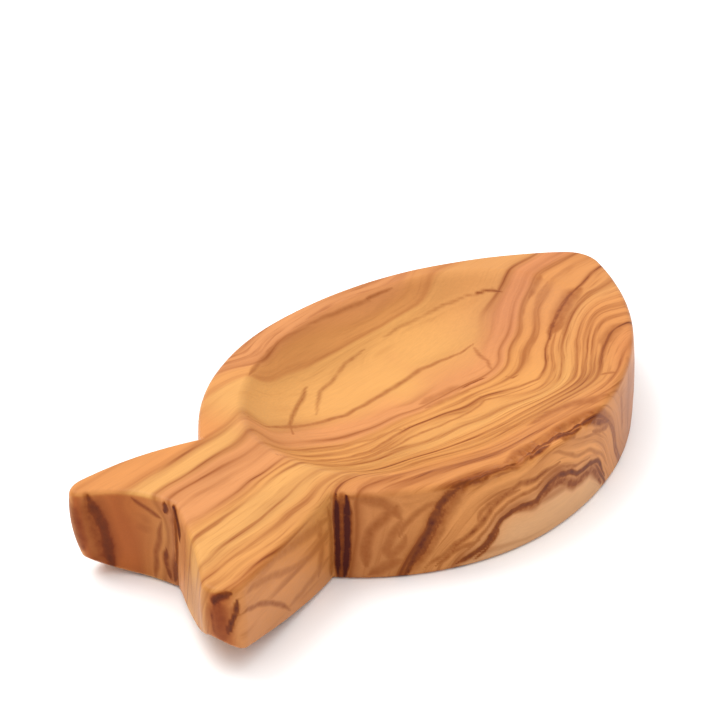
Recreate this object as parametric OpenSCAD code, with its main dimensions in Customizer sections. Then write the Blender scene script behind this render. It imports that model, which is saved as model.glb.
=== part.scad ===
// Fish-shaped serving dish carved from one block of olive wood, in millimetres.
// +X points to the snout, +Y to the fish's left, +Z up; the underside lies at z = 0
// and the origin is below the middle of the outline's bounding box.

/* [Block] */
// Height of the flat rim above the table
thickness = 22.9; // [20.5:0.1:25]
// Round along the upper edge
top_round = 1.5; // [0.8:0.1:2.5]
// Round along the lower edge
bottom_round = 1.2; // [0.8:0.1:2.5]
// How far the side walls swell at half height
wall_swell = 0.4; // [0:0.1:1.2]

/* [Body outline] */
// Half width on the left side, at the widest station
left_half_width = 44.4; // [42:0.1:47]
// Half width on the right side, at the widest station
right_half_width = 43.8; // [42:0.1:47]
// Widest station forward to the snout tip
snout_length = 75.2; // [71:0.1:80]
// Radius of the snout in plan
snout_radius = 9; // [6:0.5:14]
// Sideways place of the snout tip, towards the left
snout_offset = 5.3; // [0:0.1:7]
// Widest station back to the left neck corner
left_neck_length = 50; // [47:0.1:53]
// Widest station back to the right neck corner
right_neck_length = 48.9; // [46:0.1:52]
// Radius of the left flank behind the widest station
left_back_radius = 66; // [60:0.5:75]
// Radius of the right flank behind the widest station
right_back_radius = 58.4; // [56:0.1:70]

/* [Tail] */
// Widest station back to the bottom of the tail notch
notch_length = 73.7; // [68:0.1:78]
// Sideways place of the notch, towards the left
notch_offset = 6.7; // [0:0.1:8]
// Widest station back to the left lobe's tip
left_tip_length = 86; // [83:0.1:92]
// Left lobe's tip out from the middle line
left_tip_spread = 32.9; // [31:0.1:36]
// Widest station back to the right lobe's tip
right_tip_length = 96.2; // [92:0.1:99]
// Right lobe's tip out from the middle line
right_tip_spread = 28.8; // [27:0.1:32]
// Outward bow of the left lobe's outer edge
left_outer_bow = 2.2; // [0:0.1:3]
// Outward bow of the left lobe's inner edge, hollow when negative
left_inner_bow = -1; // [-1.5:0.1:1.5]
// Outward bow of the right lobe's outer edge, hollow when negative
right_outer_bow = -0.5; // [-1.5:0.1:2]
// Outward bow of the right lobe's inner edge
right_inner_bow = 1; // [-1:0.1:1.5]
// Length of edge that the rounding of the left lobe's tip takes up
left_tip_round = 5.2; // [4.5:0.1:8]
// Length of edge that the rounding of the right lobe's tip takes up
right_tip_round = 7.2; // [5.5:0.1:10]
// Widest station back to where the left lobe's underside begins to sweep up
left_sweep_start = 71; // [64:0.5:76]
// Widest station back to where the right lobe's underside begins to sweep up
right_sweep_start = 60; // [56:0.5:70]
// How high the underside is swept up at the left lobe's tip
left_tip_rise = 6; // [3:0.1:9]
// How high the underside is swept up at the right lobe's tip
right_tip_rise = 9; // [4:0.1:11]
// How far the left lobe's tip leans in towards its foot
left_tip_lean = 3.5; // [0:0.1:6]
// How far the right lobe's tip leans in towards its foot
right_tip_lean = 1; // [0:0.1:4]

/* [Hollow] */
// Length of the hollow at the rim
hollow_length = 102; // [92:0.5:106]
// Width of the hollow at the rim
hollow_width = 73; // [66:0.5:76]
// Middle of the hollow, ahead of the widest station
hollow_ahead = 7.6; // [5:0.1:10]
// Middle of the hollow, towards the left
hollow_offset = 0.8; // [-1:0.1:1.5]
// Deepest point, from the middle of the hollow towards the left
deepest_offset = 6; // [0:0.5:9]
// Fullness of the hollow's oval: 2 is an ellipse
hollow_fullness = 2.15; // [2:0.05:2.4]
// Depth of the hollow
hollow_depth = 12; // [9:0.1:14]
// Fullness of the bowl: higher gives steeper walls and a flatter floor
bowl_power = 3; // [2.6:0.1:3.6]
// How much fuller the bowl is at the left wall than at the middle, and less full at the right
bowl_power_side = 1; // [0:0.1:1.1]
// How much fuller the bowl is at the tail end than at the middle, and less full at the snout
bowl_power_end = 0.5; // [0:0.1:0.6]
// Height over which the rim rolls into the hollow
lip_round = 1.6; // [0.8:0.1:2.4]
// Widest strip of the flat rim that the roll takes up
lip_reach = 1.2; // [0.6:0.1:1.6]
// Height over which the rim rolls into the hollow on the right side, where it is softest
right_lip_round = 4; // [2.6:0.1:4.4]
// Widest strip of the flat rim that the roll takes up on the right side
right_lip_reach = 2.6; // [1.8:0.1:2.8]

/* [Hidden] */
wood = [0.80, 0.55, 0.29];

// Numbers of steps along the curves
body_steps = 48;
edge_steps = 10;
tip_steps = 8;
lobe_steps = 2 * edge_steps + tip_steps;
loop_count = 2 * lobe_steps + 2 * body_steps;
oval_count = 2 * body_steps;
bottom_steps = 4;
top_steps = 4;
swell_stations = [0.25, 0.5, 0.75];
lip_steps = 5;
bowl_steps = 10;

// The loft runs this far below the table line, a little further in, and is cut off level there
skirt = 0.5;
skirt_inset = 1;
cut_size = 400;

// Power of the curve along which the tail's underside sweeps up to the tips
sweep_power = 2;
// Share of a lobe's edge over which the lean of its tip fades out
lean_reach = 0.9;
// Smallest cosine that a sharp corner of the outline is mitred with
mitre_limit = 0.5;
// Direction in which the hollow's lip is softest, and how fast that fades away from there
soft_lip_angle = -95;
soft_lip_power = 3;

notch = [-notch_length, notch_offset];

function unit(v) = v / norm(v);
function cross2(a, b) = a[0] * b[1] - a[1] * b[0];
function reversed(list) = [for (i = [len(list) - 1 : -1 : 0]) list[i]];
function tail_of(list) = [for (i = [1 : len(list) - 1]) list[i]];
function mirrored(list) = [for (p = list) [p[0], -p[1]]];
function bezier(a, b, c, t) = pow(1 - t, 2) * a + 2 * t * (1 - t) * b + t * t * c;
// Near-circular arc from a to c whose end tangents meet at b
function arc(a, b, c, t) =
    let (
        weight = norm(c - a) / (norm(b - a) + norm(c - b)),
        pull = 2 * weight * t * (1 - t)
    )
    (pow(1 - t, 2) * a + pull * b + t * t * c) / (pow(1 - t, 2) + pull + t * t);
function meeting(a, da, b, db) = a + da * cross2(b - a, db) / cross2(da, db);
// Unit normal of direction d that points away from v
function away(d, v) = let (n = [d[1], -d[0]]) n * v > 0 ? -n : n;
function signed_power(base, exponent) = sign(base) * pow(abs(base), exponent);

// One flank from the neck corner to the snout: back arc, front arc, snout arc
function flank(half_width, neck_length, back_radius, snout_y) =
    let (
        reach = snout_length - snout_radius,
        rise = half_width - snout_y,
        front_radius = (reach * reach + rise * rise - snout_radius * snout_radius)
            / (2 * (rise - snout_radius)),
        back_angle = asin(neck_length / back_radius),
        front_angle = atan2(reach, snout_y - half_width + front_radius),
        back_run = back_angle * back_radius,
        front_run = front_angle * front_radius,
        run = back_run + front_run + (90 - front_angle) * snout_radius
    )
    [for (i = [0 : body_steps])
        let (s = run * i / body_steps)
        s < back_run
            ? let (g = back_angle - s / back_radius)
                [-back_radius * sin(g), half_width - back_radius * (1 - cos(g))]
            : s < back_run + front_run
                ? let (g = (s - back_run) / front_radius)
                    [front_radius * sin(g), half_width - front_radius * (1 - cos(g))]
                : let (g = front_angle + (s - back_run - front_run) / snout_radius)
                    [reach + snout_radius * sin(g), snout_y + snout_radius * cos(g)]];

// One tail lobe from the notch round its tip, ending one step before the neck corner
function lobe(neck, tip, tip_round, outer_bow, inner_bow) =
    let (
        to_neck = unit(neck - tip),
        to_notch = unit(notch - tip),
        outer_end = tip + tip_round * to_neck,
        inner_end = tip + tip_round * to_notch,
        outer_mid = (outer_end + neck) / 2 + 2 * outer_bow * away(to_neck, notch - tip),
        inner_mid = (inner_end + notch) / 2 + 2 * inner_bow * away(to_notch, neck - tip),
        corner = meeting(inner_end, inner_end - inner_mid, outer_end, outer_end - outer_mid)
    )
    concat(
        [for (i = [0 : edge_steps - 1]) bezier(notch, inner_mid, inner_end, i / edge_steps)],
        [for (i = [0 : tip_steps - 1]) arc(inner_end, corner, outer_end, i / tip_steps)],
        [for (i = [0 : edge_steps - 1]) bezier(outer_end, outer_mid, neck, i / edge_steps)]);

left_flank = flank(left_half_width, left_neck_length, left_back_radius, snout_offset);
right_flank = mirrored(flank(right_half_width, right_neck_length, right_back_radius, -snout_offset));
left_tip = [-left_tip_length, left_tip_spread];
right_tip = [-right_tip_length, -right_tip_spread];
left_lobe = lobe(left_flank[0], left_tip, left_tip_round, left_outer_bow, left_inner_bow);
right_lobe = lobe(right_flank[0], right_tip, right_tip_round, right_outer_bow, right_inner_bow);
left_axis = unit(left_tip - (left_flank[0] + notch) / 2);
right_axis = unit(right_tip - (right_flank[0] + notch) / 2);

// Outline at the rim: notch, left lobe, left flank, snout, right flank, right lobe
rim_loop = concat(left_lobe, left_flank, tail_of(reversed(right_flank)), reversed(tail_of(right_lobe)));

function wrap(i) = (i + loop_count) % loop_count;
function mate(i) = (loop_count - i) % loop_count;

// Outward normals, lengthened at corners so that an offset keeps its distance
function outward(i) =
    let (
        before = unit(rim_loop[i] - rim_loop[wrap(i - 1)]),
        after = unit(rim_loop[wrap(i + 1)] - rim_loop[i]),
        along = unit(before + after),
        normal = [-along[1], along[0]],
        flat = [-before[1], before[0]]
    )
    normal / max(mitre_limit, normal * flat);
normals = [for (i = [0 : loop_count - 1]) outward(i)];

// Inward lean of a lobe's wall, full round the tip and fading before the neck and the notch
function lean_weight(i) =
    let (steps_off = max(0, abs(i - lobe_steps / 2) - tip_steps / 2))
    pow(max(0, 1 - steps_off / (lean_reach * edge_steps)), 2);
function lean(i) =
    i < lobe_steps ? -left_tip_lean * lean_weight(i) * left_axis
    : mate(i) < lobe_steps ? -right_tip_lean * lean_weight(mate(i)) * right_axis
    : [0, 0];

// Height of the underside, swept up along the tail to each lobe's tip
function sweep(i, start, end, rise) =
    let (share = (-rim_loop[i][0] - start) / (end - start))
    -skirt + (rise + skirt) * pow(min(1, max(0, share)), sweep_power);
function underside(i) =
    i < lobe_steps ? sweep(i, left_sweep_start, left_tip_length, left_tip_rise)
    : mate(i) < lobe_steps ? sweep(i, right_sweep_start, right_tip_length, right_tip_rise)
    : -skirt;

wall_top = thickness - top_round;
wall_base = [for (i = [0 : loop_count - 1]) max(0, underside(i)) + bottom_round];

// A point of the wall at height z, moved out from the rim's outline by an offset
function wall_point(i, offset, z) =
    let (
        depth = max(0, 1 - z / wall_top),
        plan = rim_loop[i] + offset * normals[i] + depth * depth * lean(i)
    )
    [plan[0], plan[1], z];

function skirt_point(i) =
    let (p = wall_point(i, -bottom_round - skirt_inset, max(0, underside(i))))
    [p[0], p[1], underside(i)];
function foot_point(i, angle) =
    wall_point(i, -bottom_round * (1 - sin(angle)), wall_base[i] - bottom_round * cos(angle));
function swell_point(i, t) =
    wall_point(i, wall_swell * 4 * t * (1 - t), wall_base[i] + (wall_top - wall_base[i]) * t);
function edge_point(i, angle) =
    wall_point(i, -top_round * (1 - cos(angle)), wall_top + top_round * sin(angle));

every = [0 : loop_count - 1];
outer_rings = concat(
    [[for (i = every) skirt_point(i)]],
    [for (k = [0 : bottom_steps]) [for (i = every) foot_point(i, 90 * k / bottom_steps)]],
    [for (t = swell_stations) [for (i = every) swell_point(i, t)]],
    [for (k = [0 : top_steps]) [for (i = every) edge_point(i, 90 * k / top_steps)]]);

// Hollow: an oval bowl whose wall rolls over into the flat rim
function oval(angle) = [
    hollow_ahead + hollow_length / 2 * signed_power(cos(angle), 2 / hollow_fullness),
    hollow_offset + hollow_width / 2 * signed_power(sin(angle), 2 / hollow_fullness)];
function power_at(angle) = bowl_power + bowl_power_side * sin(angle) - bowl_power_end * cos(angle);
function softness(angle) = pow((1 + cos(angle - soft_lip_angle)) / 2, soft_lip_power);
function lip_at(angle) = lip_round + (right_lip_round - lip_round) * softness(angle);
function reach_at(angle) = lip_reach + (right_lip_reach - lip_reach) * softness(angle);
function bowl_drop(r, power, lip) =
    let (
        drop = hollow_depth * (1 - pow(r, power)),
        blend = max(0, lip - abs(drop)) / lip
    )
    max(0, drop) + blend * blend * lip / 4;

// Rings run from the outside of the lip, shares 0 to 1, then down the bowl, shares 1 to 2
ring_shares = concat(
    [for (k = [0 : lip_steps]) k / lip_steps],
    [for (k = [1 : bowl_steps - 1]) 1 + k / bowl_steps]);
deepest = [hollow_ahead, hollow_offset + deepest_offset];
function bowl_point(angle, share) =
    let (
        power = power_at(angle),
        lip = lip_at(angle),
        lip_outer = min(
            pow(1 + lip / hollow_depth, 1 / power),
            1 + reach_at(angle) / norm(oval(angle) - deepest)),
        lip_inner = pow(1 - lip / hollow_depth, 1 / power),
        r = share < 1 ? lip_outer + (lip_inner - lip_outer) * share : lip_inner * (2 - share),
        plan = deepest + r * (oval(angle) - deepest)
    )
    [plan[0], plan[1], thickness - bowl_drop(r, power, lip)];
bowl_rings = [for (share = ring_shares) [for (i = [0 : oval_count - 1])
    bowl_point(180 - 360 * i / oval_count, share)]];

// Middle of the outline's bounding box, which becomes the origin
xs = [for (p = joined(outer_rings)) p[0]];
ys = [for (p = joined(outer_rings)) p[1]];
box_middle = [(min(xs) + max(xs)) / 2, (min(ys) + max(ys)) / 2, 0];

// Faces of the loft, each listed clockwise as seen from outside
function triangle(a, b, c) = a == b || b == c || a == c ? [] : [[a, b, c]];
function quad(a, b, c, d) = concat(triangle(a, b, c), triangle(a, c, d));
function joined(lists) = [for (list = lists) for (item = list) item];
function shifted(faces, start) = [for (f = faces) [for (v = f) v + start]];

// Strips that fill the two tail lobes and the triangle between them and the neck
tail_faces = concat(
    joined([for (j = [0 : lobe_steps / 2 - 1])
        quad(j, j + 1, lobe_steps - j - 1, lobe_steps - j)]),
    joined([for (j = [0 : lobe_steps / 2 - 1])
        quad(mate(lobe_steps - j), mate(lobe_steps - j - 1), mate(j + 1), mate(j))]),
    triangle(0, lobe_steps, mate(lobe_steps)));
body_faces = joined([for (i = [lobe_steps : lobe_steps + body_steps - 1])
    quad(i, i + 1, mate(i + 1), mate(i))]);
underside_faces = [for (f = concat(tail_faces, body_faces)) reversed(f)];

wall_faces = joined([for (k = [0 : len(outer_rings) - 2]) joined([for (i = every)
    let (low = k * loop_count, high = low + loop_count)
    quad(low + i, low + wrap(i + 1), high + wrap(i + 1), high + i)])]);

top_start = (len(outer_rings) - 1) * loop_count;
bowl_start = len(outer_rings) * loop_count;
bowl_centre = bowl_start + len(bowl_rings) * oval_count;
function oval_wrap(i) = (i + oval_count) % oval_count;
rim_faces = concat(
    shifted(tail_faces, top_start),
    triangle(top_start + lobe_steps, bowl_start, top_start + mate(lobe_steps)),
    joined([for (i = [0 : body_steps - 1])
        quad(top_start + lobe_steps + i, top_start + lobe_steps + i + 1,
            bowl_start + i + 1, bowl_start + i)]),
    joined([for (i = [0 : body_steps - 1])
        quad(top_start + mate(lobe_steps + i + 1), top_start + mate(lobe_steps + i),
            bowl_start + oval_wrap(-i), bowl_start + oval_wrap(-i - 1))]));

bowl_faces = concat(
    joined([for (k = [0 : len(bowl_rings) - 2]) joined([for (i = [0 : oval_count - 1])
        let (out = bowl_start + k * oval_count, in = out + oval_count)
        quad(out + i, out + oval_wrap(i + 1), in + oval_wrap(i + 1), in + i)])]),
    joined([for (i = [0 : oval_count - 1])
        let (last = bowl_centre - oval_count)
        triangle(last + i, last + oval_wrap(i + 1), bowl_centre)]));

loft_points = concat(
    joined(outer_rings),
    joined(bowl_rings),
    [[deepest[0], deepest[1], thickness - hollow_depth]]);
loft_faces = concat(underside_faces, wall_faces, rim_faces, bowl_faces);

// The whole dish, with its underside planed level
module fish_dish() {
    color(wood)
    difference() {
        translate(-box_middle)
            polyhedron(loft_points, loft_faces, convexity = 8);
        translate([-cut_size / 2, -cut_size / 2, -cut_size])
            cube(cut_size);
    }
}

fish_dish();
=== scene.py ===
"""Fish-shaped olive-wood dish on a pale studio floor. Sizes are in millimetres until a mesh is made."""
import math

import bpy
import numpy as np
from mathutils import Matrix, Vector, noise
from mathutils.bvhtree import BVHTree
from mathutils.geometry import delaunay_2d_cdt


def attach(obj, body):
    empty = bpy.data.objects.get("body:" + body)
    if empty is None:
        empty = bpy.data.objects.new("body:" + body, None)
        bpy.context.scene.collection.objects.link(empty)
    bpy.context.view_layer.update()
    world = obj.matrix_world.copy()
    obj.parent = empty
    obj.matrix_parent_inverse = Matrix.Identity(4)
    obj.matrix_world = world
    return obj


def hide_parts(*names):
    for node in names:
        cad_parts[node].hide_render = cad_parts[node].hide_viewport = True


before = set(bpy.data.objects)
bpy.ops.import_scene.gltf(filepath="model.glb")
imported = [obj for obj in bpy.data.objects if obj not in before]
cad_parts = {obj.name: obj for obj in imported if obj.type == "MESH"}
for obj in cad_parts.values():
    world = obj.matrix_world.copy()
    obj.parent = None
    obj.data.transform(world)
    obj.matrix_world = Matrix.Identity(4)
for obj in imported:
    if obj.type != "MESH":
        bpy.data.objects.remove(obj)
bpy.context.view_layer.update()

MM = 0.001
IMAGE_SIDE = 720

# Block
THICKNESS = 22.9
TOP_ROUND = 1.5
BOTTOM_ROUND = 1.2
WALL_SWELL = 0.4

# Body outline
LEFT_HALF_WIDTH = 44.4
RIGHT_HALF_WIDTH = 43.8
SNOUT_LENGTH = 75.2
SNOUT_RADIUS = 9.0
SNOUT_OFFSET = 5.3
LEFT_NECK_LENGTH = 50.0
RIGHT_NECK_LENGTH = 48.9
LEFT_BACK_RADIUS = 66.0
RIGHT_BACK_RADIUS = 58.4

# Tail
NOTCH = np.array((-73.7, 6.7))
LEFT_TIP = np.array((-87.3, 33.25))
RIGHT_TIP = np.array((-100.2, -29.6))
LEFT_OUTER_BOW = 1.5
LEFT_INNER_BOW = -2.6
RIGHT_OUTER_BOW = 0.2
RIGHT_INNER_BOW = -0.95
LEFT_TIP_ROUND = 8.6
RIGHT_TIP_ROUND = 13.9
LEFT_TIP_FULLNESS = 1.28
RIGHT_TIP_FULLNESS = 0.85
RIGHT_FOOT_BOW = 2.0
# Upward sweeps of the underside: start and end along the tail, rise, and power of the curve
LEFT_SWEEP = (71.0, 86.0, 6.0, 2.3)
RIGHT_SWEEP = (50.0, 96.2, 8.0, 1.45)
RIGHT_TIP_SWEEP = (87.0, 94.0, 3.5, 2.0)
LEFT_TIP_LEAN = 3.5
RIGHT_TIP_LEAN = 1.0
LEAN_REACH = 0.9
MITRE_LIMIT = 0.5
# The two sweeps meet between these distances to the right and to the left of the notch
SWEEPS_MEET_RIGHT = 8.0
SWEEPS_MEET_LEFT = 2.0
# Middle of the block's outline, where the frame has its origin
OUTLINE_MIDDLE = np.array((-8.708, 0.3))

# Hollow
HOLLOW_LENGTH = 102.0
HOLLOW_WIDTH = 73.0
HOLLOW_AHEAD = 7.6
HOLLOW_OFFSET = 0.8
DEEPEST_OFFSET = 6.0
HOLLOW_FULLNESS = 2.15
HOLLOW_DEPTH = 12.0
BOWL_POWER = 3.0
BOWL_POWER_SIDE = 1.0
BOWL_POWER_END = 0.5
LIP_ROUND = 1.6
LIP_REACH = 1.2
RIGHT_LIP_ROUND = 4.0
RIGHT_LIP_REACH = 2.6
SOFT_LIP_ANGLE = math.radians(-95)
SOFT_LIP_POWER = 3

# Numbers of steps along the curves
LEFT_BODY_STEPS = 180
RIGHT_BODY_STEPS = 320
EDGE_STEPS = 56
TIP_STEPS = 24
LOBE_STEPS = 2 * EDGE_STEPS + TIP_STEPS
LOOP = 2 * LOBE_STEPS + LEFT_BODY_STEPS + RIGHT_BODY_STEPS
OVAL = 480
FOOT_STEPS = 5
WALL_STEPS = 46
ROUND_STEPS = 6
LIP_STEPS = 10
BOWL_STEPS = 72
TOP_SPACING = 0.65
FOOT_SPACING = 2.0
# Triangles reach out to the hull of their points, and points that lie closer than this are one
OUT_TO_HULL = 0
MERGE_WITHIN = 1e-7
# An edge's points pull on the heights beside it by this power of their distance
EDGE_PULL = -3
# Points worked on at a time, beside an edge and in the grain
CHUNK = 500
GRAIN_CHUNK = 4000


def unit(v):
    return v / np.linalg.norm(v)


def cross2(a, b):
    return a[0] * b[1] - a[1] * b[0]


def bezier(a, b, c, t):
    t = t[:, None]
    return (1 - t) ** 2 * a + 2 * t * (1 - t) * b + t * t * c


def arc(a, b, c, t, fullness):
    """Arc from a to c with end tangents through b: near-circular at fullness 1, else flatter or fuller."""
    weight = fullness * np.linalg.norm(c - a) / (np.linalg.norm(b - a) + np.linalg.norm(c - b))
    t = t[:, None]
    pull = 2 * weight * t * (1 - t)
    return ((1 - t) ** 2 * a + pull * b + t * t * c) / ((1 - t) ** 2 + pull + t * t)


def away(direction, v):
    """Direction square to another one, on the side that v doesn't lie on."""
    normal = np.array((direction[1], -direction[0]))
    return -normal if normal @ v > 0 else normal


def flank(half_width, neck_length, back_radius, snout_y, steps):
    """One flank from the neck corner to the snout: back arc, front arc, snout arc."""
    reach = SNOUT_LENGTH - SNOUT_RADIUS
    rise = half_width - snout_y
    front_radius = (reach ** 2 + rise ** 2 - SNOUT_RADIUS ** 2) / (2 * (rise - SNOUT_RADIUS))
    back_angle = math.asin(neck_length / back_radius)
    front_angle = math.atan2(reach, snout_y - half_width + front_radius)
    back_run = back_angle * back_radius
    front_run = front_angle * front_radius
    run = back_run + front_run + (math.pi / 2 - front_angle) * SNOUT_RADIUS
    points = []
    for s in np.linspace(0, run, steps + 1):
        if s < back_run:
            g = back_angle - s / back_radius
            points.append((-back_radius * math.sin(g), half_width - back_radius * (1 - math.cos(g))))
        elif s < back_run + front_run:
            g = (s - back_run) / front_radius
            points.append((front_radius * math.sin(g), half_width - front_radius * (1 - math.cos(g))))
        else:
            g = front_angle + (s - back_run - front_run) / SNOUT_RADIUS
            points.append((reach + SNOUT_RADIUS * math.sin(g), snout_y + SNOUT_RADIUS * math.cos(g)))
    return np.array(points)


def lobe(neck, tip, tip_round, fullness, outer_bow, inner_bow):
    """One tail lobe from the notch round its tip, ending one step before the neck corner."""
    to_neck = unit(neck - tip)
    to_notch = unit(NOTCH - tip)
    outer_end = tip + tip_round * to_neck
    inner_end = tip + tip_round * to_notch
    outer_mid = (outer_end + neck) / 2 + 2 * outer_bow * away(to_neck, NOTCH - tip)
    inner_mid = (inner_end + NOTCH) / 2 + 2 * inner_bow * away(to_notch, neck - tip)
    d_in = inner_end - inner_mid
    d_out = outer_end - outer_mid
    corner = inner_end + d_in * cross2(outer_end - inner_end, d_out) / cross2(d_in, d_out)
    edge = np.arange(EDGE_STEPS) / EDGE_STEPS
    turn = np.arange(TIP_STEPS) / TIP_STEPS
    return np.concatenate((
        bezier(NOTCH, inner_mid, inner_end, edge),
        arc(inner_end, corner, outer_end, turn, fullness),
        bezier(outer_end, outer_mid, neck, edge)))


# Outline of the rim, from the notch round the left lobe, the body and the right lobe
MIRROR = np.array((1, -1))
left_flank = flank(LEFT_HALF_WIDTH, LEFT_NECK_LENGTH, LEFT_BACK_RADIUS, SNOUT_OFFSET, LEFT_BODY_STEPS)
right_flank = flank(RIGHT_HALF_WIDTH, RIGHT_NECK_LENGTH, RIGHT_BACK_RADIUS, -SNOUT_OFFSET, RIGHT_BODY_STEPS)
right_flank = right_flank * MIRROR
left_lobe = lobe(
    left_flank[0], LEFT_TIP, LEFT_TIP_ROUND, LEFT_TIP_FULLNESS, LEFT_OUTER_BOW, LEFT_INNER_BOW)
right_lobe = lobe(
    right_flank[0], RIGHT_TIP, RIGHT_TIP_ROUND, RIGHT_TIP_FULLNESS, RIGHT_OUTER_BOW, RIGHT_INNER_BOW)
rim = np.concatenate((left_lobe, left_flank, right_flank[::-1][1:], right_lobe[1:][::-1]))

# Outward directions along the rim
before = rim - np.roll(rim, 1, axis=0)
after = np.roll(rim, -1, axis=0) - rim
before /= np.linalg.norm(before, axis=1)[:, None]
after /= np.linalg.norm(after, axis=1)[:, None]
along = before + after
along /= np.linalg.norm(along, axis=1)[:, None]
normals = np.stack((-along[:, 1], along[:, 0]), axis=1)
flats = np.stack((-before[:, 1], before[:, 0]), axis=1)
normals /= np.maximum(MITRE_LIMIT, (normals * flats).sum(1))[:, None]


def tip_leans():
    """Lean of each lobe's wall: inward round the tip, and outward where the near one faces the notch."""
    steps = np.arange(LOBE_STEPS)
    off = np.maximum(0, abs(steps - LOBE_STEPS / 2) - TIP_STEPS / 2)
    weight = np.maximum(0, 1 - off / (LEAN_REACH * EDGE_STEPS)) ** 2
    left_axis = unit(LEFT_TIP - (left_flank[0] + NOTCH) / 2)
    right_axis = unit(RIGHT_TIP - (right_flank[0] + NOTCH) / 2)
    right_foot = lobe(
        right_flank[0], RIGHT_TIP, RIGHT_TIP_ROUND, RIGHT_TIP_FULLNESS, RIGHT_OUTER_BOW, RIGHT_FOOT_BOW)
    leans = np.zeros((LOOP, 2))
    leans[:LOBE_STEPS] = -LEFT_TIP_LEAN * weight[:, None] * left_axis
    for i in range(1, LOBE_STEPS):
        leans[LOOP - i] = right_foot[i] - right_lobe[i] - RIGHT_TIP_LEAN * weight[i] * right_axis
    return leans


def smoothstep(low, high, value):
    t = np.clip((value - low) / (high - low), 0, 1)
    return t * t * (3 - 2 * t)


def underside(plan):
    """Height of the underside, swept up along the tail to each lobe's tip."""
    def sweep(start, end, rise, power):
        return rise * np.clip((-plan[:, 0] - start) / (end - start), 0, 1) ** power
    left = sweep(*LEFT_SWEEP)
    right = sweep(*RIGHT_SWEEP) + sweep(*RIGHT_TIP_SWEEP)
    to_left = smoothstep(NOTCH[1] - SWEEPS_MEET_RIGHT, NOTCH[1] + SWEEPS_MEET_LEFT, plan[:, 1])
    return right + (left - right) * to_left


leans = tip_leans()
wall_top = THICKNESS - TOP_ROUND
wall_base = underside(rim) + BOTTOM_ROUND


def wall_ring(offset, z):
    """Points of the wall at heights z, moved out from the rim's outline by an offset."""
    depth = np.maximum(0, 1 - z / wall_top)
    plan = rim + offset * normals + (depth * depth)[:, None] * leans
    return np.column_stack((plan, z))


# Wall rings, from the underside's edge up to the rim
rings = []
for k in range(FOOT_STEPS):
    angle = math.pi / 2 * k / FOOT_STEPS
    height = wall_base - BOTTOM_ROUND * math.cos(angle)
    rings.append(wall_ring(-BOTTOM_ROUND * (1 - math.sin(angle)), height))
for k in range(WALL_STEPS):
    t = k / WALL_STEPS
    rings.append(wall_ring(WALL_SWELL * 4 * t * (1 - t), wall_base + (wall_top - wall_base) * t))
for k in range(ROUND_STEPS + 1):
    angle = math.pi / 2 * k / ROUND_STEPS
    height = np.full(LOOP, wall_top + TOP_ROUND * math.sin(angle))
    rings.append(wall_ring(-TOP_ROUND * (1 - math.cos(angle)), height))

# Bowl rings, from the outside of the lip to the deepest point
angles = math.pi - 2 * math.pi * np.arange(OVAL) / OVAL
cosines = np.cos(angles)
sines = np.sin(angles)
exponent = 2 / HOLLOW_FULLNESS
oval = np.column_stack((
    HOLLOW_AHEAD + HOLLOW_LENGTH / 2 * np.sign(cosines) * abs(cosines) ** exponent,
    HOLLOW_OFFSET + HOLLOW_WIDTH / 2 * np.sign(sines) * abs(sines) ** exponent))
powers = BOWL_POWER + BOWL_POWER_SIDE * sines - BOWL_POWER_END * cosines
softness = ((1 + np.cos(angles - SOFT_LIP_ANGLE)) / 2) ** SOFT_LIP_POWER
lips = LIP_ROUND + (RIGHT_LIP_ROUND - LIP_ROUND) * softness
reaches = LIP_REACH + (RIGHT_LIP_REACH - LIP_REACH) * softness
lip_outer = (1 + lips / HOLLOW_DEPTH) ** (1 / powers)
lip_inner = (1 - lips / HOLLOW_DEPTH) ** (1 / powers)
deepest = np.array((HOLLOW_AHEAD, HOLLOW_OFFSET + DEEPEST_OFFSET))
lip_outer = np.minimum(lip_outer, 1 + reaches / np.linalg.norm(oval - deepest, axis=1))


def bowl_ring(r):
    """Points of the bowl at shares r of the way out to the hollow's edge, with the lip rolled over."""
    drop = HOLLOW_DEPTH * (1 - r ** powers)
    blend = np.maximum(0, lips - abs(drop)) / lips
    height = THICKNESS - np.maximum(0, drop) - blend * blend * lips / 4
    return np.column_stack((deepest + r[:, None] * (oval - deepest), height))


bowl = [bowl_ring(lip_outer + (lip_inner - lip_outer) * k / LIP_STEPS) for k in range(LIP_STEPS + 1)]
bowl += [bowl_ring(lip_inner * (1 - k / BOWL_STEPS)) for k in range(1, BOWL_STEPS)]


def inside(points, loop):
    """Which points lie inside a closed loop, by counting crossings."""
    x0, y0 = loop[:, 0], loop[:, 1]
    x1, y1 = np.roll(x0, -1), np.roll(y0, -1)
    px, py = points[:, :1], points[:, 1:2]
    spans = (y0 > py) != (y1 > py)
    run = np.where(y1 == y0, 1, y1 - y0)
    crossing = x0 + (py - y0) * (x1 - x0) / run
    return ((spans & (px < crossing)).sum(1) % 2) == 1


def plan_gaps(points, loop):
    """Distances in plan from points to all points of a loop, for some of the points at a time."""
    for i in range(0, len(points), CHUNK):
        yield np.linalg.norm(points[i:i + CHUNK, None] - loop[None, :, :2], axis=2)


def nearest(points, loop):
    return np.concatenate([gaps.min(1) for gaps in plan_gaps(points, loop)])


def carried(points, loop, values):
    """Values along a loop, carried to points beside it by their closeness."""
    means = []
    for gaps in plan_gaps(points, loop):
        weights = gaps ** EDGE_PULL
        means.append(weights @ values / weights.sum(1))
    return np.concatenate(means)


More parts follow.
